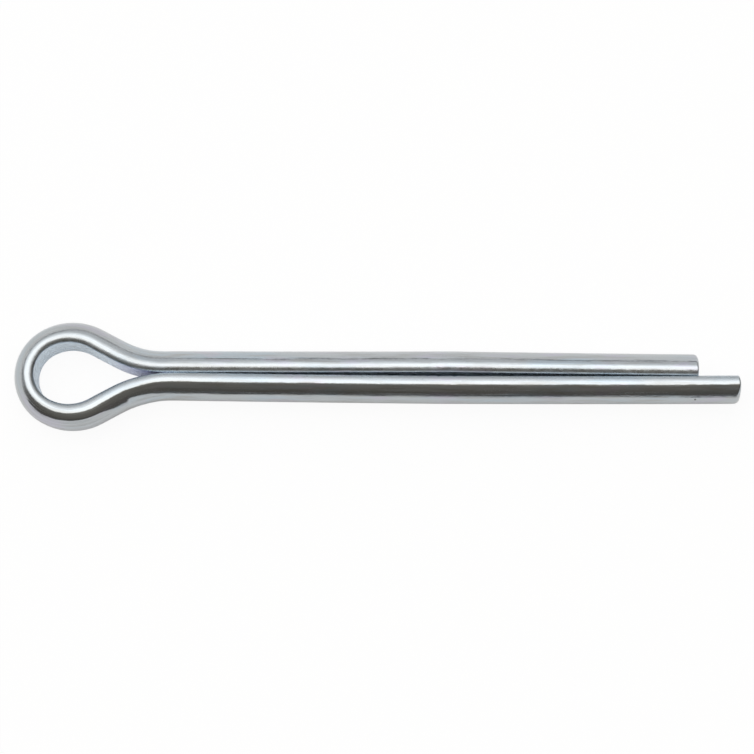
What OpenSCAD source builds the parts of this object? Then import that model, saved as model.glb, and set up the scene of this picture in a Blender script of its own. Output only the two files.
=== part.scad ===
// Split cotter pin: one length of half-round wire, bent round an eye at its middle so
// that its two ends lie flat to flat and make a round shank. One prong reaches further.
//
// The pin lies on its side: the wire bends in the XY plane, the eye is at -X and the
// prongs run along +X. The origin is on the shank's axis at the narrowest place of the
// neck, where the eye ends and the prongs begin.

/* [Wire] */
// Thickness of the wire, from its flat to the middle of its round back
wire_t = 2.25; // [1.6:0.05:3.2]
// How far behind the flat the back is struck from, which is near the shank's axis
back_set = 0.1; // [0:0.05:0.4]
// Rounding of the two edges along the flat side
edge_r = 0.7; // [0.2:0.05:0.8]
// Angle at which each of those edges runs into the back
edge_angle = 24; // [20:1:40]

/* [Eye] */
// Width of the eye, from flat to flat
eye_w = 5.45; // [4.8:0.05:8]
// Bend radius of each shoulder, at the flat
shoulder_r = 3.5; // [3.2:0.05:4.6]
// Angle of the crown from its tip to the start of a shoulder
crown_half = 59; // [45:1:65]
// Slope of the flanks, which close the eye towards the shank
flank_slope = 28; // [22:1:34]
// Bend radius of the neck, on the round back, which seats in the hole
neck_r = 8.4; // [4:0.1:11]

/* [Prongs] */
// Length of the shorter prong, from the seat to its end
prong_l = 50.3; // [38:0.1:120]
// How much further the longer prong reaches
extension = 4; // [0:0.1:10]
// Gap between the flats at the neck
neck_gap = 0.05; // [0.05:0.05:1]
// Length of the first stretch, on which the prongs spread a little
spread_l = 24.8; // [10:0.2:34]
// Outward lean of that stretch
spread = 0.25; // [0.1:0.05:0.5]
// Bend radius after it, where the longer prong straightens and the shorter turns in
bow_r = 100; // [60:10:400]
// Gap between the flats at the end of the shorter prong
tip_gap = 0.05; // [0.05:0.01:0.3]
// Rounding that the cut leaves at the back of each end
cut_r = 1.25; // [1:0.05:1.8]
// How far that rounding reaches in from the back
cut_reach = 1; // [0.3:0.05:1]

/* [Seat] */
// How much wider the hole is than the neck: the eye seats where it has grown by as much
hole_play = 0.5; // [0.2:0.1:1]

/* [Hidden] */
$fn = 96;

// Radius of the round back
back_r = wire_t + back_set;
// Half the width of the wire over its edges, taken to a hundredth so that each
// rounding meets the flat exactly
edge_centre = sqrt(pow(back_r, 2) + pow(edge_r, 2) - 2 * back_r * edge_r * cos(edge_angle)
            - pow(edge_r + back_set, 2));
wire_half = round(100 * (edge_r + edge_centre)) / 100;
// The neck's radius at the flat of the wire, on the far side from the neck's centre
neck_flat_r = neck_r + wire_t;
// The crown's radius at the flat, which gives the eye its width
crown_r = shoulder_r - (shoulder_r - eye_w/2) / sin(crown_half);
// The straight stretch of a flank, which brings the neck to its gap
flank_drop = (shoulder_r + neck_flat_r) * (1 - cos(flank_slope));
flank_l = (eye_w/2 - neck_gap/2 - flank_drop) / sin(flank_slope);
// From the crown's flat to the narrowest place of the neck, along the axis
eye_l = crown_r + (shoulder_r - crown_r) * cos(crown_half)
      + (shoulder_r + neck_flat_r) * sin(flank_slope) + flank_l * cos(flank_slope);
// From the seat to that narrowest place, along the axis
seat_rise = hole_play / 2;
seat_l = sqrt(2 * neck_r * seat_rise - seat_rise * seat_rise);
// Where the prongs stand furthest apart, and half the gap there
bow_x = (neck_flat_r + bow_r) * sin(spread) + spread_l * cos(spread);
bow_y = neck_gap/2 + (neck_flat_r + bow_r) * (1 - cos(spread)) + spread_l * sin(spread);
// From the centre of the shorter prong's bend there to the flat at the prong's end, and
// the inward lean of its last stretch, which touches that bend and comes to that end
tip = [prong_l - seat_l - bow_x, bow_r - 2 * bow_y + tip_gap];
toe_in = atan2(tip[0], tip[1]) - acos(bow_r / norm(tip));
// Length of wire that the rounding of an end is cut from
end_l = cut_r + edge_r;

// How far a bend is made past its end planes, in degrees, before it is cut off there
overrun = 2;
// Half the side of the blocks that cut it off, beyond anything that a bend reaches
block = 60;

// Section of the wire: the flat on the Y axis, the round back towards +X
module section() {
    intersection() {
        translate([-back_set, 0]) circle(back_r);
        trimmed();
    }
}

// What the rounded edges leave of a wide bar with the same flat
module trimmed() {
    translate([0, edge_r - wire_half]) square([2 * wire_t, 2 * wire_half - 2 * edge_r]);
    translate([edge_r, -wire_half]) square([2 * wire_t, 2 * wire_half]);
    for (side = [-1, 1]) translate([edge_r, side * (wire_half - edge_r)]) circle(edge_r);
}

// Straight wire and bends are laid along +X from where they stand, with the flat
// towards -Y, and each puts what follows it at its far end.

module straight(length) {
    along_x() linear_extrude(length) section();
    translate([length, 0, 0]) children();
}

// Bends towards the flat side, or towards the round back if the angle is negative
module bend(radius, angle) {
    to_flat = angle > 0;
    intersection() {
        translate([0, to_flat ? -radius : radius, 0])
            rotate_extrude(start = (to_flat ? 90 - angle : -90) - overrun,
                           angle = abs(angle) + 2 * overrun)
                translate([radius, 0]) rotate(to_flat ? 0 : 180) section();
        translate([0, -block, -block]) cube(2 * block);
        bent(radius, angle) translate([-2 * block, -block, -block]) cube(2 * block);
    }
    bent(radius, angle) children();
}

// The far end of such a bend
module bent(radius, angle) {
    centre = [0, angle > 0 ? -radius : radius, 0];
    translate(centre) turned(-angle) translate(-centre) children();
}

// The end of a prong, cut square and rounded at its back
module cut_end() {
    intersection() {
        translate([0, -back_set, 0]) rotate([0, 90, 0]) rotate_extrude() intersection() {
            square([back_r, end_l]);
            union() {
                square([back_r, end_l - cut_r]);
                square([back_r - cut_reach, end_l]);
                translate([back_r - cut_reach, end_l - cut_r]) circle(cut_r);
            }
        }
        along_x() linear_extrude(end_l) trimmed();
    }
}

// Stands an extrusion's section across the X axis, with its own X towards Y
module along_x() {
    rotate([90, 0, 90]) children();
}

// Turns about Z in two steps. With sines and cosines of six figures, a single step
// would stretch the wire beyond it by a part in a million, and it would no longer
// meet the bend face to face. The steps are chosen so that their stretches cancel.
module turned(angle) {
    tries = [for (first = [0.02:0.02:30]) [abs(stretch(first) * stretch(angle - first) - 1), first]];
    least = min([for (try = tries) try[0]]);
    first = [for (try = tries) if (try[0] == least) try[1]][0];
    rotate(first) rotate(angle - first) children();
}

function stretch(angle) = norm([six_figures(cos(angle)), six_figures(sin(angle))]);

function six_figures(value) =
    let (unit = pow(10, floor(log(abs(value))) - 5))
    value == 0 ? 0 : round(value / unit) * unit;

// Half of the pin, from the tip of the crown to the end of a prong of this length, whose
// last stretch leans inwards by this angle
module half_pin(length, lean) {
    bend(crown_r, crown_half)
    bend(shoulder_r, 90 - crown_half + flank_slope)
    straight(flank_l)
    bend(neck_flat_r, -flank_slope - spread)
    straight(spread_l)
    bend(bow_r, spread + lean)
    straight((length - seat_l - bow_x - bow_r * sin(lean)) / cos(lean) - end_l)
    cut_end();
}

module cotter_pin() {
    color("silver") translate([-eye_l, 0, 0]) {
        rotate(90) half_pin(prong_l, toe_in);
        mirror([0, 1, 0]) rotate(90) half_pin(prong_l + extension, 0);
    }
}

cotter_pin();
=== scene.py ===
from math import acos, atan2, cos, hypot, pi, radians, sin, sqrt

import bpy
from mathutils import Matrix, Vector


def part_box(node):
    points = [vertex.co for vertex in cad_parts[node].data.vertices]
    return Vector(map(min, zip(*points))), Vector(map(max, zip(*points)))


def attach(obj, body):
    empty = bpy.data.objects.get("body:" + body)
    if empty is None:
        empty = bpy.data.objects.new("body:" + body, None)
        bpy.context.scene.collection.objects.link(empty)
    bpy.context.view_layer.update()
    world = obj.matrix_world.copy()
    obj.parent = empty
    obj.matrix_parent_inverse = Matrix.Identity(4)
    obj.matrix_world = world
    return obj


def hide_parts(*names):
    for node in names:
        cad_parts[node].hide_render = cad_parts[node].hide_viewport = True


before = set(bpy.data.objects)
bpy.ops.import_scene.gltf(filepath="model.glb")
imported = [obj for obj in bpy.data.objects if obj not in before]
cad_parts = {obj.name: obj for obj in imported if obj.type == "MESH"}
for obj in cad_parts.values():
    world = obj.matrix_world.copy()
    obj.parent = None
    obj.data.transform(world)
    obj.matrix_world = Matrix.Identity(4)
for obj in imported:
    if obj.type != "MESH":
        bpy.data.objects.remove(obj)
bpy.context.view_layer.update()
print("frame loaded:", sorted(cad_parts))

mm = 0.001


class Value:  # what a node gives out, to be reckoned with as in a formula

    def __init__(self, wiring, socket):
        self.wiring = wiring
        self.socket = socket

    def __add__(self, other):
        return self.wiring.calc("ADD", self, other)

    def __radd__(self, other):
        return self.wiring.calc("ADD", other, self)

    def __sub__(self, other):
        return self.wiring.calc("SUBTRACT", self, other)

    def __rsub__(self, other):
        return self.wiring.calc("SUBTRACT", other, self)

    def __mul__(self, other):
        return self.wiring.calc("MULTIPLY", self, other)

    def __truediv__(self, other):
        return self.wiring.calc("DIVIDE", self, other)

    def __pow__(self, power):
        return self.wiring.calc("POWER", self, power)

    def __neg__(self):
        return self * -1

    def __abs__(self):
        return self.wiring.calc("ABSOLUTE", self)


class Wiring:  # adds nodes to a tree and links them

    def __init__(self, tree):
        self.tree = tree

    def plug(self, value, socket):
        if isinstance(value, Value):
            self.tree.links.new(value.socket, socket)
        else:
            socket.default_value = value

    def node(self, kind, inputs=(), **settings):  # inputs by their names or their places
        made = self.tree.nodes.new(kind)
        for name, value in settings.items():
            setattr(made, name, value)
        for name, value in dict(inputs).items():
            self.plug(value, made.inputs[name])
        return made

    def value(self, kind, inputs=(), output=0, **settings):
        return Value(self, self.node(kind, inputs, **settings).outputs[output])

    def calc(self, operation, *values):
        return self.value("ShaderNodeMath", enumerate(values), operation=operation)

    def sine(self, angle):
        return self.calc("SINE", angle)

    def cosine(self, angle):
        return self.calc("COSINE", angle)

    def root(self, value):
        return self.calc("SQRT", value)

    def smaller(self, a, b):
        return self.calc("MINIMUM", a, b)

    def larger(self, a, b):
        return self.calc("MAXIMUM", a, b)

    def exceeds(self, a, b):  # 1 where a is more than b, 0 elsewhere
        return self.calc("GREATER_THAN", a, b)

    def vector(self, *values):
        return self.value("ShaderNodeCombineXYZ", enumerate(values))

    def split(self, value):
        parts = self.node("ShaderNodeSeparateXYZ", {"Vector": value}).outputs
        return [Value(self, part) for part in parts]

    def scaled(self, value, factor):
        return self.value("ShaderNodeVectorMath", {"Vector": value, "Scale": factor}, operation="SCALE")

    def ramp(self, value, start, end, low=0.0, high=1.0, smooth=True):
        inputs = {"Value": value, "From Min": start, "From Max": end, "To Min": low, "To Max": high}
        kind = "SMOOTHSTEP" if smooth else "LINEAR"
        return self.value("ShaderNodeMapRange", inputs, interpolation_type=kind)

    def noise(self, place, seed, detail=2.0):
        inputs = {"Vector": place, "W": seed, "Scale": 1.0, "Detail": detail}
        return self.value("ShaderNodeTexNoise", inputs, noise_dimensions="4D")

    def mixed(self, colour, other, share):
        mix = self.node("ShaderNodeMix", {"Factor": share}, data_type="RGBA")
        for value, socket in zip((colour, other), (mix.inputs[6], mix.inputs[7])):
            self.plug(value if isinstance(value, Value) else (*value, 1), socket)
        return Value(self, mix.outputs[2])


class ShapeWiring(Wiring):  # a Geometry Nodes tree with these inputs, a section to sweep and a finish

    def __init__(self, name, sizes):
        super().__init__(bpy.data.node_groups.new(name, "GeometryNodeTree"))
        face = self.tree.interface
        face.new_socket(name="Section", in_out="INPUT", socket_type="NodeSocketGeometry")
        for size in sizes:
            face.new_socket(name=size, in_out="INPUT", socket_type="NodeSocketFloat")
        face.new_socket(name="Finish", in_out="INPUT", socket_type="NodeSocketMaterial")
        face.new_socket(name="Wire", in_out="OUTPUT", socket_type="NodeSocketGeometry")
        self.given = {socket.name: Value(self, socket) for socket in self.node("NodeGroupInput").outputs}

    def shape(self, kind, geometry, inputs=(), **settings):
        return self.value(kind, {0: geometry, **dict(inputs)}, **settings)

    def store(self, geometry, name, value, kind="FLOAT"):
        inputs = {"Name": name, "Value": value}
        return self.shape("GeometryNodeStoreNamedAttribute", geometry, inputs, data_type=kind)

    def named(self, name, kind="FLOAT"):
        return self.value("GeometryNodeInputNamedAttribute", {"Name": name}, "Attribute", data_type=kind)


# the wire, the way it is bent, and what cutting and bending left on it
pinWire = {
    "thickness": 2.25 * mm,  # flat to the middle of the round back
    "backSet": 0.1 * mm,  # the back is struck from this far behind the flat
    "edgeRound": 0.75 * mm,  # rounding of the two edges along the flat
    "edgeLap": 0.1 * mm,  # how far the flat cuts into that rounding
    "eyeWidth": 5.45 * mm,
    "shoulderRadius": 3.5 * mm,
    "crownAngle": radians(59),  # from the crown's tip to a shoulder
    "flankSlope": radians(28),
    "neckRadius": 8.4 * mm,  # on the round back
    "neckGap": 0.0 * mm,
    "prongStretch": 24.8 * mm,  # straight, from the neck to the bow
    "spread": radians(0.33),  # outward lean of that stretch
    "bowRadius": 100 * mm,
    "tipGap": 0.02 * mm,  # at the end of the short prong
    "extension": 3.82 * mm,  # the long prong beyond the short one
    "cutRound": 0.13 * mm,  # rounding round an end's face at the flat
    "shortCutRound": 0.3 * mm,  # and at the round back, on the short prong and the long one
    "longCutRound": 0.45 * mm,
    "cutMiddle": 0.9 * mm,  # depth at which an end reaches furthest
    "cutBack": 0.2 * mm,  # how far it falls back from there to the round back
    "shortCutFlat": 0.02 * mm,  # and to the flat, on the short prong and the long one
    "longCutFlat": 0.16 * mm,
    "cutSlant": 0.12 * mm,  # how much less the ends reach on their upper side
    "cutSpan": 0.6,  # from an end's middle to its rim, as a share of the thickness
    "sway": 0.12 * mm,  # the shank bows to one side, by this much over the span
    "swayMiddle": 38 * mm,  # along the pin, where it is furthest to the long prong's side
    "swaySpan": 30.2 * mm,  # from there to either side
    "swayLevel": 0.77,  # share of the sway that is taken off all along, so that it goes to both sides
    "swayStart": -3 * mm,  # it sets in over this stretch of the neck
    "swayFull": 1 * mm,
    "waviness": 0.004 * mm,  # of the whole surface
    "waveLength": 2.5 * mm,
    "markStart": 9.4 * mm,  # a flat that the bending tool left on the long prong's side of the neck
    "markEdge": 0.1 * mm,  # it is there at once, and fades over its length
    "markLength": 3.8 * mm,
    "markDepth": 0.09 * mm,
    "markAngle": radians(61),  # round from the top
    "roll": radians(4.5),  # the wire turned a little in the tool as the crown was bent
    "rollLength": 7 * mm,
    "thinning": 0.26 * mm,  # and drew out there, so that it is thinner at its flat
    "bulge": 0.05,  # share by which the long prong's shoulder is squeezed out between top and side
    "bulgeStart": 1.5 * mm,
    "bulgeLength": 7 * mm,
    "bulgeRise": 0.4,  # share of that length at which it is full, and at which it starts to fall
    "bulgeFall": 0.6,
    "ringGap": 0.2 * mm,  # between the rings of the mesh
    "endEasing": 2 * mm,  # rings draw together over about this length at the ends
    "cutFade": 1.5,  # times that length, over which an end's shape fades out
    "capRings": 6,
    "capCrowding": 1.6,  # above 1, the rings on an end's face lie closer towards its rim
    "seed": 7,
}

# those that the tree takes as they are
treeSizes = [
    "thickness", "backSet", "cutRound", "shortCutRound", "longCutRound", "cutMiddle", "cutBack",
    "shortCutFlat", "longCutFlat", "cutSlant", "cutSpan", "sway", "swayMiddle", "swaySpan", "swayLevel",
    "swayStart", "swayFull", "waviness", "waveLength", "markStart", "markEdge", "markLength",
    "markDepth", "markAngle", "roll", "rollLength", "thinning", "bulge", "bulgeStart", "bulgeLength",
    "bulgeRise", "bulgeFall", "ringGap", "endEasing", "cutFade", "capRings", "capCrowding", "seed",
]


def sectionOutline(wire):  # depth behind the flat and place across it, once round
    back, edge = wire["thickness"] + wire["backSet"], wire["edgeRound"]
    inset = edge - wire["edgeLap"]  # of the rounding's centre
    centre = sqrt((back - edge) ** 2 - (inset + wire["backSet"]) ** 2)
    meet = atan2(centre, inset + wire["backSet"])  # where an edge runs into the back
    leave = pi - acos(inset / edge)  # and where it leaves the flat
    half = centre + edge * sin(leave)
    flatSteps, edgeSteps, backSteps = 16, 12, 40
    flat = [(0, half * sin(pi * (k / flatSteps - 0.5))) for k in range(flatSteps + 1)]
    turns = [leave + (meet - leave) * k / edgeSteps for k in range(1, edgeSteps + 1)]
    upper = [(inset + edge * cos(a), centre + edge * sin(a)) for a in turns]
    angles = [meet * (1 - 2 * k / backSteps) for k in range(1, backSteps)]
    rounded = [(back * cos(a) - wire["backSet"], back * sin(a)) for a in angles]
    lower = [(depth, -across) for depth, across in reversed(upper)]
    return flat + upper + rounded + lower


def bendList(wire):
    # name, size and angle of each stretch from the crown outwards: a bend's size is its
    # radius at the flat, and a straight one has a length and no angle
    neckFlat = wire["neckRadius"] + wire["thickness"]
    shoulder, halfEye = wire["shoulderRadius"], wire["eyeWidth"] / 2
    slope, spread = wire["flankSlope"], wire["spread"]
    crown = shoulder - (shoulder - halfEye) / sin(wire["crownAngle"])
    drop = (shoulder + neckFlat) * (1 - cos(slope))
    flank = (halfEye - wire["neckGap"] / 2 - drop) / sin(slope)
    return [
        ("Crown", crown, wire["crownAngle"]),
        ("Shoulder", shoulder, pi / 2 - wire["crownAngle"] + slope),
        ("Flank", flank, None),
        ("Neck", neckFlat, -slope - spread),
        ("Prong", wire["prongStretch"], None),
        ("Bow", wire["bowRadius"], spread),
    ]


def turnIn(wire, tipX):  # how far the short prong leans in after the bow, to come to its gap
    spread, bow = wire["spread"], wire["bowRadius"]
    both = wire["neckRadius"] + wire["thickness"] + bow
    bowX = both * sin(spread) + wire["prongStretch"] * cos(spread)
    bowY = wire["neckGap"] / 2 + both * (1 - cos(spread)) + wire["prongStretch"] * sin(spread)
    ahead, up = tipX - bowX, bow - 2 * bowY + wire["tipGap"]
    return atan2(ahead, up) - acos(bow / hypot(ahead, up))


def wireReach(bends, startX, tipX):  # length of the flat from the crown's tip to an end
    x, heading, length = startX, 0, 0
    for name, size, angle in bends:
        if angle is None:
            x += size * sin(heading)
            length += size
        else:
            curve = angle / abs(angle) / size
            x += (cos(heading) - cos(heading + angle)) / curve
            heading += angle
            length += abs(angle) * size
    return length + (tipX - x) / sin(heading)


def ringPath(wiring):  # rings run from the short end through the crown to the long end
    given = wiring.given
    easing, gap = given["End easing"], given["Ring gap"]
    shortReach, longReach = given["Short reach"], given["Long reach"]
    shortRun, longRun = [wiring.root((far + easing) ** 2 - easing ** 2) for far in (shortReach, longReach)]
    capRun = given["Cap rings"] * gap
    fullRun = shortRun + longRun + capRun * 2
    count = wiring.calc("CEIL", fullRun / gap) + 1
    index = wiring.value("GeometryNodeInputIndex")
    run = index / (count - 1) * fullRun - (shortRun + capRun)
    isLong = wiring.exceeds(run, 0)
    ahead = shortRun + isLong * (longRun - shortRun) - abs(run)
    inside = wiring.larger(ahead, 0)
    toEnd = wiring.root(inside * inside + easing * easing) - easing
    reach = shortReach + isLong * (longReach - shortReach)
    onCap = wiring.larger(-ahead, 0) / (capRun + gap * 0.5)  # under 1, so that the last ring stays open
    path = wiring.value("GeometryNodeMeshLine", {"Count": count, "Offset": (mm, 0, 0)})
    path = wiring.store(path, "side", 1 - isLong * 2)
    path = wiring.store(path, "along", reach - toEnd)
    path = wiring.store(path, "toEnd", toEnd)
    path = wiring.store(path, "cutFace", onCap)
    return wiring.shape("GeometryNodeMeshToCurve", path)


def sweptSection(wiring, path):  # the section stands at each ring and keeps its own places
    place = wiring.value("GeometryNodeInputPosition")
    section = wiring.store(wiring.given["Section"], "sectionPlace", place, "FLOAT_VECTOR")
    section = wiring.shape("GeometryNodeMeshToCurve", section)
    return wiring.shape("GeometryNodeCurveToMesh", path, {"Profile Curve": section, "Fill Caps": True})


def eitherEnd(wiring, isShort, name):  # the size of this name for the prong that a ring is on
    short, long = wiring.given["Short " + name], wiring.given["Long " + name]
    return long + isShort * (short - long)


def squeezed(wiring, isShort, depth, across):  # the long prong's shoulder, between its top and side
    given = wiring.given
    behind = depth + given["Back set"]
    past = wiring.named("along") - given["Bulge start"]
    rise = wiring.ramp(past, 0, given["Bulge length"] * given["Bulge rise"])
    fade = wiring.ramp(past, given["Bulge length"], given["Bulge length"] * given["Bulge fall"])
    between = wiring.sine(wiring.calc("ARCTAN2", across, behind) * 2) ** 2
    swell = given["Bulge"] * (rise * fade) * (between * (1 - isShort))
    return depth + behind * swell, across + across * swell


def closedIn(wiring, isShort, depth, across):  # drawn in round an end's face, and closed over it
    given = wiring.given
    toEnd, middle, thick = wiring.named("toEnd"), given["Cut middle"], given["Thickness"]
    share = depth / thick
    atBack = (eitherEnd(wiring, isShort, "cut round") - given["Cut round"]) * (share * share)
    cutRound = given["Cut round"] + atBack
    drop = cutRound - wiring.smaller(toEnd, cutRound)
    drawn = cutRound - wiring.root(cutRound * cutRound - drop * drop)
    onFace = wiring.named("cutFace") ** given["Cap crowding"]
    scale = (1 - drawn / (thick * given["Cut span"])) * (1 - onFace)
    return middle + (depth - middle) * scale, across * scale


def pressed(wiring, isShort, depth, across):  # what stands out past the bending tool's flat goes back
    given = wiring.given
    out, up = wiring.sine(given["Mark angle"]), wiring.cosine(given["Mark angle"])
    past = wiring.named("along") - given["Mark start"]
    length = wiring.ramp(past, given["Mark length"], 0, smooth=False)
    fading = wiring.ramp(past, 0, given["Mark edge"]) * length
    markDepth = given["Mark depth"] * fading * (1 - isShort)
    standing = (depth + given["Back set"]) * out + across * up
    push = wiring.larger(standing - (given["Thickness"] + given["Back set"] - markDepth), 0)
    return depth - push * out, across - push * up


def fallBack(wiring, isShort, depth, across):  # how much less of its length an end has at each place
    given = wiring.given
    middle, thick = given["Cut middle"], given["Thickness"]
    outward = wiring.larger((depth - middle) / (thick - middle), 0)
    inward = wiring.larger((middle - depth) / middle, 0)
    atFlat = eitherEnd(wiring, isShort, "cut flat") * (inward * inward)
    slant = given["Cut slant"] * (0.5 + across / thick * 0.5)
    nearEnd = wiring.ramp(wiring.named("toEnd"), given["End easing"] * given["Cut fade"], 0)
    return (given["Cut back"] * (outward * outward) + atFlat + slant) * nearEnd


def rolled(wiring, depth, across):  # about the middle of the section, at the crown, and thinner there
    given = wiring.given
    atCrown = wiring.ramp(wiring.named("along"), given["Roll length"], 0)
    roll = given["Roll"] * atCrown
    turnedOut, turnedUp = wiring.cosine(roll), wiring.sine(roll)
    behind = depth - given["Cut middle"]
    depth = given["Cut middle"] + (behind * turnedOut + across * turnedUp)
    across = across * turnedOut - behind * turnedUp
    depth = depth + given["Thinning"] * atCrown * (1 - depth / given["Thickness"])
    return depth, across


def flatLine(wiring, bends, isShort, along):  # where the flat is, and how far the wire has turned
    given, sine, cosine = wiring.given, wiring.sine, wiring.cosine
    x, y, heading, start, turn = given["Start X"], 0.0, 0.0, 0.0, 0.0
    for name, size, angle in bends:
        length = given[name + " size"]
        if angle is not None:
            radius, angle = length, given[name + " angle"]
            if name == "Bow":
                angle = angle + isShort * given["Turn in"]
            length = radius * abs(angle)
        gone = wiring.larger(wiring.smaller(along - start, length), 0)
        if angle is None:
            x = x + gone * sine(heading)
            y = y + gone * cosine(heading)
        else:
            curve = wiring.calc("SIGN", angle) / radius
            turned = heading + gone * curve
            x = x + (cosine(heading) - cosine(turned)) / curve
            y = y + (sine(turned) - sine(heading)) / curve
            turn = turn + gone * curve
            heading = heading + angle
        start = start + length
    gone = wiring.larger(along - start, 0)
    return x + gone * sine(heading), y + gone * cosine(heading), turn


def swayed(wiring, x):  # both prongs together bow a little to one side
    given = wiring.given
    bowed = ((x - given["Sway middle"]) / given["Sway span"]) ** 2
    setIn = wiring.ramp(x, given["Sway start"], given["Sway full"])
    return given["Sway"] * (bowed - given["Sway level"]) * setIn


def bentWireTree(bends, sizes):  # sweeps a section along the bent wire and rounds its two cut ends
    wiring = ShapeWiring("bentWire", sizes)
    given = wiring.given
    wire = sweptSection(wiring, ringPath(wiring))

    depth, across, _ = wiring.split(wiring.named("sectionPlace", "FLOAT_VECTOR"))
    side = wiring.named("side")
    isShort = wiring.exceeds(side, 0)
    depth, across = squeezed(wiring, isShort, depth, across)
    depth, across = closedIn(wiring, isShort, depth, across)
    depth, across = pressed(wiring, isShort, depth, across)
    along = wiring.named("along") - fallBack(wiring, isShort, depth, across)
    place = wiring.vector(along * side, across, depth)
    wire = wiring.store(wire, "wirePlace", place, "FLOAT_VECTOR")  # for patterns that follow the wire

    depth, across = rolled(wiring, depth, across)
    x, y, turn = flatLine(wiring, bends, isShort, along)
    bentX = x - wiring.cosine(turn) * depth
    bentY = side * (y + wiring.sine(turn) * depth) + swayed(wiring, x)
    wire = wiring.shape("GeometryNodeSetPosition", wire, {"Position": wiring.vector(bentX, bentY, across)})

    # slight waves of a drawn and bent surface
    perLength = wiring.calc("DIVIDE", 1, given["Wave length"])
    steps = wiring.scaled(wiring.named("wirePlace", "FLOAT_VECTOR"), perLength)
    wave = (wiring.noise(steps, given["Seed"]) - 0.5) * (given["Waviness"] * 2)
    push = wiring.scaled(wiring.value("GeometryNodeInputNormal"), wave)
    wire = wiring.shape("GeometryNodeSetPosition", wire, {"Offset": push})

    for name in ("side", "along", "toEnd", "sectionPlace"):
        wire = wiring.shape("GeometryNodeRemoveAttribute", wire, {"Name": name})
    wire = wiring.shape("GeometryNodeSetShadeSmooth", wire)
    wire = wiring.shape("GeometryNodeRealizeInstances", wire)
    wire = wiring.shape("GeometryNodeSetMaterial", wire, {"Material": given["Finish"]})
    wiring.plug(wire, wiring.node("NodeGroupOutput").inputs[0])
    return wiring.tree


def inputName(name):  # "ringGap" is the tree's "Ring gap"
    return "".join(" " + letter.lower() if letter.isupper() else letter for letter in name).capitalize()


def bendPin(wire, finish):  # one mesh, swept from a loop of edges that is its section
    bends = bendList(wire)
    low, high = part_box("cotter_pin")
    startX, shortX = low.x + wire["thickness"], high.x - wire["extension"]
    lean = turnIn(wire, shortX)
    shortBends = bends[:-1] + [("Bow", wire["bowRadius"], wire["spread"] + lean)]
    sizes = {inputName(name): wire[name] for name in treeSizes}
    sizes["Start X"] = startX
    sizes["Short reach"] = wireReach(shortBends, startX, shortX)
    sizes["Long reach"] = wireReach(bends, startX, high.x)
    sizes["Turn in"] = lean
    for name, size, angle in bends:
        sizes[name + " size"] = size
        if angle is not None:
            sizes[name + " angle"] = angle

    outline = [(depth, across, 0) for depth, across in sectionOutline(wire)]
    loop = [(k, (k + 1) % len(outline)) for k in range(len(outline))]
    data = bpy.data.meshes.new("pinSection")
    data.from_pydata(outline, loop, [])
    pin = bpy.data.objects.new("bentPin", data)
    bpy.context.scene.collection.objects.link(pin)
    modifier = pin.modifiers.new("bend", "NODES")
    modifier.node_group = bentWireTree(bends, sizes)
    values = {**sizes, "Finish": finish}
    for socket in modifier.node_group.interface.items_tree:
        if socket.in_out == "INPUT" and socket.name in values:
            modifier[socket.identifier] = values[socket.name]
    graph = bpy.context.evaluated_depsgraph_get()
    solid = bpy.data.meshes.new_from_object(pin.evaluated_get(graph))
    pin.modifiers.remove(modifier)
    pin.data = solid
    print("pin bent:", len(solid.vertices), "points,", len(solid.polygons), "faces")
    return pin


# the finish: clear zinc over drawn wire, with lengths in millimetres
zincLook = {
    "base": (0.51, 0.545, 0.57),
    "flat": (0.78, 0.87, 0.95),  # on the untouched flat
    "neckFlat": (0.71, 0.74, 0.88),
    "neckStretch": (7.5, 10.5, 12.5, 15.0),  # along the wire, where that sets in, is full, ends and is gone
    "flatSkin": 0.04,  # depth behind the flat at which its colour has gone
    # tints in clouds and streaks: grain along and across the wire, seed, and the part of the
    # noise over which each sets in
    "blue": ((0.475, 0.545, 0.60), 0.12, 0.5, 5.0, 0.45, 0.65),
    "violet": ((0.52, 0.525, 0.595), 0.25, 0.7, 6.0, 0.52, 0.68),
    "streak": ((0.445, 0.465, 0.475), 0.25, 2.6, 8.0, 0.45, 0.7),
    "streakDepth": (0.3, 0.8),  # streaks set in between these depths behind the flat
    # heights of the relief, with its grain along and across the wire, seed and detail
    "waves": (0.035, 0.3, 0.9, 1.0, 1),
    "mottle": (0.010, 1.6, 3.2, 2.0, 3),
    "lines": (0.012, 0.12, 4.5, 3.0, 2),
    "grain": (0.007, 2.6, 3.6, 4.0, 1),
    "rubs": (0.014, 3.0, 0.5, 7.0, 2),  # that the bending tool left across the wire near the eye
    "rubStretch": (19.0, 9.0),  # along the wire from the crown, where they set in and are full
    "cutGrain": 0.05,  # height of the torn grain on the cut ends
    "pitDepth": 0.05,
    "pitGap": 1.1,
    "pitRim": (0.13, 0.05),  # a pit's outline and its floor, as shares of that gap from its middle
    # the pits are real dents; their darker colour is painted shade
    "pitPaintedShade": (0.12, 0.12, 0.12),
    "pitPaintedShadeShare": 0.7,
    "pitStretch": (-48, -58),  # pits are rare up to here, and more frequent at the long prong's end
    "pitFree": (0.965, 0.68),  # share of places there with no pit
    "roughness": 0.15,
    "lineRoughness": 0.6,  # that the draw lines add or take off
    "edgeRoughness": 0.22,  # that scuffing adds at the edges along the flat
    "scuffDepth": (0.8, 0.3),  # it sets in between these depths behind the flat
    "scuffMottle": (0.3, 0.6, 0.4, 1),  # between these parts of the mottle it grows from 0.4 to 1
    "pitRoughness": 0.3,
    "cutRoughness": 0.42,  # on the cut ends
    "cutRim": 0.12,  # where the ends' faces are bare, as a share of the way in
}


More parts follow.
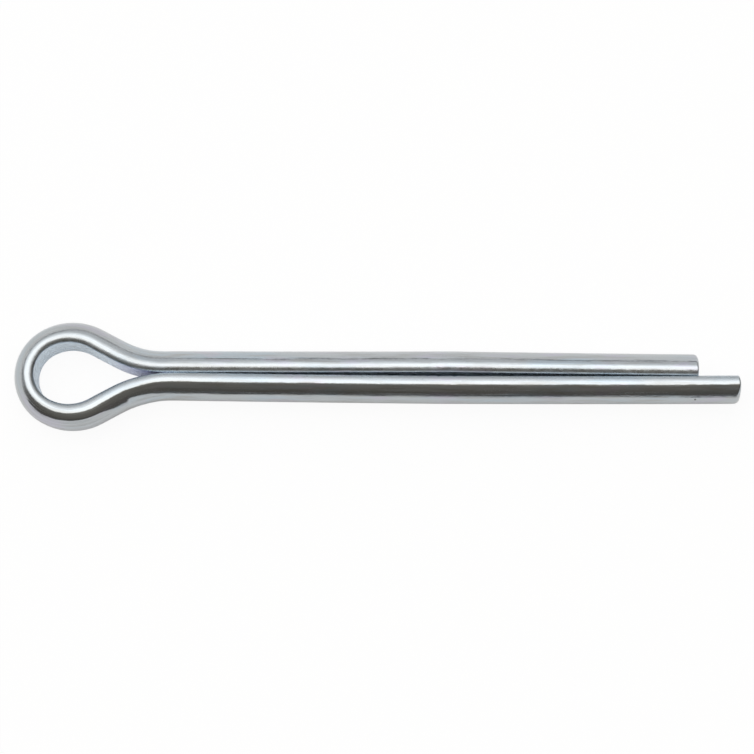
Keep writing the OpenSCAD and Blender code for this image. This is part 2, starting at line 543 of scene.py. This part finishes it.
def zincPlate(look):
    material = bpy.data.materials.new("zincPlate")
    material.use_nodes = True
    wiring = Wiring(material.node_tree)
    ramp, mixed = wiring.ramp, wiring.mixed
    shader = material.node_tree.nodes["Principled BSDF"]
    shader.inputs["Metallic"].default_value = 1
    spot = wiring.value("ShaderNodeAttribute", output="Vector", attribute_name="wirePlace")
    spot = wiring.scaled(spot, 1 / mm)
    along, across, depth = wiring.split(spot)
    fromCrown = abs(along)
    cutFace = wiring.value("ShaderNodeAttribute", output="Fac", attribute_name="cutFace")
    cut = ramp(cutFace, 0.0, look["cutRim"])

    def noise(lengthwise, crosswise, seed, detail=2):
        place = wiring.vector(along * lengthwise, across * crosswise, depth * crosswise)
        return wiring.noise(place, seed, detail)

    def relief(name):
        height, *grain = look[name]
        texture = noise(*grain)
        return texture, texture * height

    waveHeight = relief("waves")[1]
    mottle, mottleHeight = relief("mottle")
    lines, lineHeight = relief("lines")
    grain, grainHeight = relief("grain")
    rubHeight = relief("rubs")[1] * ramp(fromCrown, *look["rubStretch"])

    # a few pits, more of them towards the long prong's end
    cells = wiring.node("ShaderNodeTexVoronoi", {"Vector": spot, "Scale": 1 / look["pitGap"]})
    distance, lot = Value(wiring, cells.outputs["Distance"]), Value(wiring, cells.outputs["Color"])
    bare = ramp(along, *look["pitStretch"], *look["pitFree"], smooth=False)
    pit = wiring.exceeds(wiring.split(lot)[0], bare) * ramp(distance, *look["pitRim"])

    height = waveHeight + mottleHeight + (lineHeight + grainHeight + rubHeight)
    height = height + cut * (grain * look["cutGrain"]) - pit * look["pitDepth"]
    bump = wiring.value("ShaderNodeBump", {"Height": height, "Distance": mm, "Strength": 1.0})
    wiring.plug(bump, shader.inputs["Normal"])

    def tinted(colour, name, share=1.0):
        tint, *texture, start, full = look[name]
        amount = ramp(noise(*texture), start, full)
        return mixed(colour, tint, amount if share == 1.0 else amount * share)

    colour = tinted(tinted(look["base"], "blue"), "violet")
    colour = tinted(colour, "streak", ramp(depth, *look["streakDepth"]))
    onFlat = ramp(depth, look["flatSkin"], 0.0) * (1 - cut)
    begin, full, ending, gone = look["neckStretch"]
    nearNeck = ramp(fromCrown, begin, full) * ramp(fromCrown, gone, ending)
    colour = mixed(colour, mixed(look["flat"], look["neckFlat"], nearNeck), onFlat)
    # painted shade darkens the pits
    colour = mixed(colour, look["pitPaintedShade"], pit * look["pitPaintedShadeShare"])
    wiring.plug(colour, shader.inputs["Base Color"])

    scuffed = ramp(depth, *look["scuffDepth"]) * ramp(mottle, *look["scuffMottle"])
    roughness = (lines - 0.5) * look["lineRoughness"] + look["roughness"]
    roughness = roughness + scuffed * look["edgeRoughness"] + pit * look["pitRoughness"]
    roughness = roughness + cut * (look["cutRoughness"] - look["roughness"])
    wiring.plug(roughness, shader.inputs["Roughness"])
    return material


# the studio
studio = {
    "floorSize": 3.0,
    "floorColour": 0.95,
    "floorLift": 0.93,  # share of plain white in what the camera sees of it
    "floorPaintedShade": (-0.028, -0.011),  # painted shade: its colour darkens over this stretch towards the camera's side, for all but camera rays
    "floorPaintedShadeShare": 0.15,  # share of its colour that this painted shade leaves there
    "distance": 400 * mm,
    "tilt": radians(10.8),  # of the view, from straight down
    "lookX": 19.13 * mm,
    "lookY": -0.015 * mm,
    "lens": 209.5,
    "roll": radians(0.01),
    "boxHeight": 0.5,  # of the overhead soft boxes
    "boxReach": (-0.8, 0.5),  # along the pin
    # how far each goes across it, and how much it adds to the room's light
    "boxes": [
        ("core", -0.21, 0.22, 1.08),
        ("edge", 0.22, 0.42, 0.6),
        ("fringe", 0.42, 0.72, 0.27),
    ],
}


def studioFloor(values, height):
    data = bpy.data.meshes.new("floor")
    half = values["floorSize"] / 2
    corners = [(-half, -half, height), (half, -half, height), (half, half, height), (-half, half, height)]
    data.from_pydata(corners, [], [(0, 1, 2, 3)])
    floor = bpy.data.objects.new("floor", data)
    bpy.context.scene.collection.objects.link(floor)
    material = bpy.data.materials.new("paleFloor")
    material.use_nodes = True
    wiring = Wiring(material.node_tree)
    shader = material.node_tree.nodes["Principled BSDF"]
    place = wiring.split(wiring.value("ShaderNodeTexCoord", output="Object"))
    # painted shade: the floor's colour darkens towards the camera's side, so the pin reflects a darker
    # floor there, while the camera still sees it white
    paintedShadeLevel = wiring.ramp(place[1], *values["floorPaintedShade"], values["floorPaintedShadeShare"], 1, smooth=False)
    seen = wiring.value("ShaderNodeLightPath", output="Is Camera Ray")
    shade = wiring.larger(paintedShadeLevel * values["floorColour"], seen)
    wiring.plug(wiring.vector(shade, shade, shade), shader.inputs["Base Color"])
    shader.inputs["Roughness"].default_value = 1
    shader.inputs["Specular IOR Level"].default_value = 0
    glow = wiring.value("ShaderNodeEmission", {"Color": (1, 1, 1, 1), "Strength": 1.0})
    lit = Value(wiring, shader.outputs[0])
    mix = wiring.value("ShaderNodeMixShader", {0: seen * values["floorLift"], 1: lit, 2: glow})
    wiring.plug(mix, material.node_tree.nodes["Material Output"].inputs[0])
    data.materials.append(material)
    return floor


def placeCamera(values):
    data = bpy.data.cameras.new("camera")
    data.lens = values["lens"]
    data.sensor_width = 36
    data.clip_start = 0.005
    camera = bpy.data.objects.new("camera", data)
    bpy.context.scene.collection.objects.link(camera)
    tilt, far = values["tilt"], values["distance"]
    camera.location = (values["lookX"], values["lookY"] - far * sin(tilt), far * cos(tilt))
    camera.rotation_euler = (tilt, 0, values["roll"])
    bpy.context.scene.camera = camera
    return camera


def softBoxes(values):  # wide lamps side by side that look straight down, each fainter than the last
    left, right = values["boxReach"]
    for name, near, far, glow in values["boxes"]:
        data = bpy.data.lights.new(name + "SoftBox", "AREA")
        data.shape = "RECTANGLE"
        data.size, data.size_y = right - left, far - near
        data.energy = glow * pi * data.size * data.size_y
        lamp = bpy.data.objects.new(name + "SoftBox", data)
        bpy.context.scene.collection.objects.link(lamp)
        lamp.location = ((left + right) / 2, (near + far) / 2, values["boxHeight"])


# how bright the room is by elevation in degrees, on its light side and on the dark side
# behind the camera
room = {
    "light": [(0, 0.9), (5, 0.9), (8, 0.17), (10, 0.17), (13, 0.74), (30, 0.77), (90, 0.77)],
    "dark": [
        (0, 0.13), (8, 0.11), (14, 0.12), (24, 0.16), (47, 0.2),
        (56, 0.28), (60, 0.42), (66, 0.77), (90, 0.77),
    ],
    "darkTint": (1.0, 0.92, 0.81),
    "turn": (0.4, -0.55),  # the light side goes over into the dark one between these
    "endStart": 0.3,  # beyond the prongs' ends, the dark side reaches further round
    "endReach": 5,
}


def studioRoom(values):
    world = bpy.data.worlds.new("room")
    bpy.context.scene.world = world
    world.use_nodes = True
    wiring = Wiring(world.node_tree)
    towards = wiring.split(wiring.value("ShaderNodeTexCoord", output="Generated"))
    elevation = wiring.calc("ARCSINE", towards[2]) * (2 / pi)  # as a share of a right angle

    def glow(stops, tint):
        brightest = max(level for degrees, level in stops)
        ramp = wiring.node("ShaderNodeValToRGB", {"Fac": elevation})
        elements = ramp.color_ramp.elements
        while len(elements) < len(stops):
            elements.new(0.5)
        for element, (degrees, level) in zip(elements, stops):
            element.position = degrees / 90
        for element, (degrees, level) in zip(elements, stops):
            element.color = (*[level / brightest * part for part in tint], 1)
        return wiring.scaled(Value(wiring, ramp.outputs[0]), brightest)

    beyondEnds = wiring.larger(towards[0] - values["endStart"], 0)
    behind = wiring.ramp(towards[1] - beyondEnds * values["endReach"], *values["turn"])
    light, dark = glow(values["light"], (1, 1, 1)), glow(values["dark"], values["darkTint"])
    seen = wiring.value("ShaderNodeLightPath", output="Is Camera Ray")
    plain = wiring.mixed(wiring.mixed(light, dark, behind), (1, 1, 1), seen)
    background = world.node_tree.nodes["Background"]
    wiring.plug(plain, background.inputs["Color"])
    background.inputs["Strength"].default_value = 1
    return world


pin = bendPin(pinWire, zincPlate(zincLook))
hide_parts("cotter_pin")
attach(pin, "root")

studioFloor(studio, min(vertex.co.z for vertex in pin.data.vertices))
placeCamera(studio)
softBoxes(studio)
studioRoom(room)
bpy.context.scene.view_settings.view_transform = "Standard"
print("studio set")
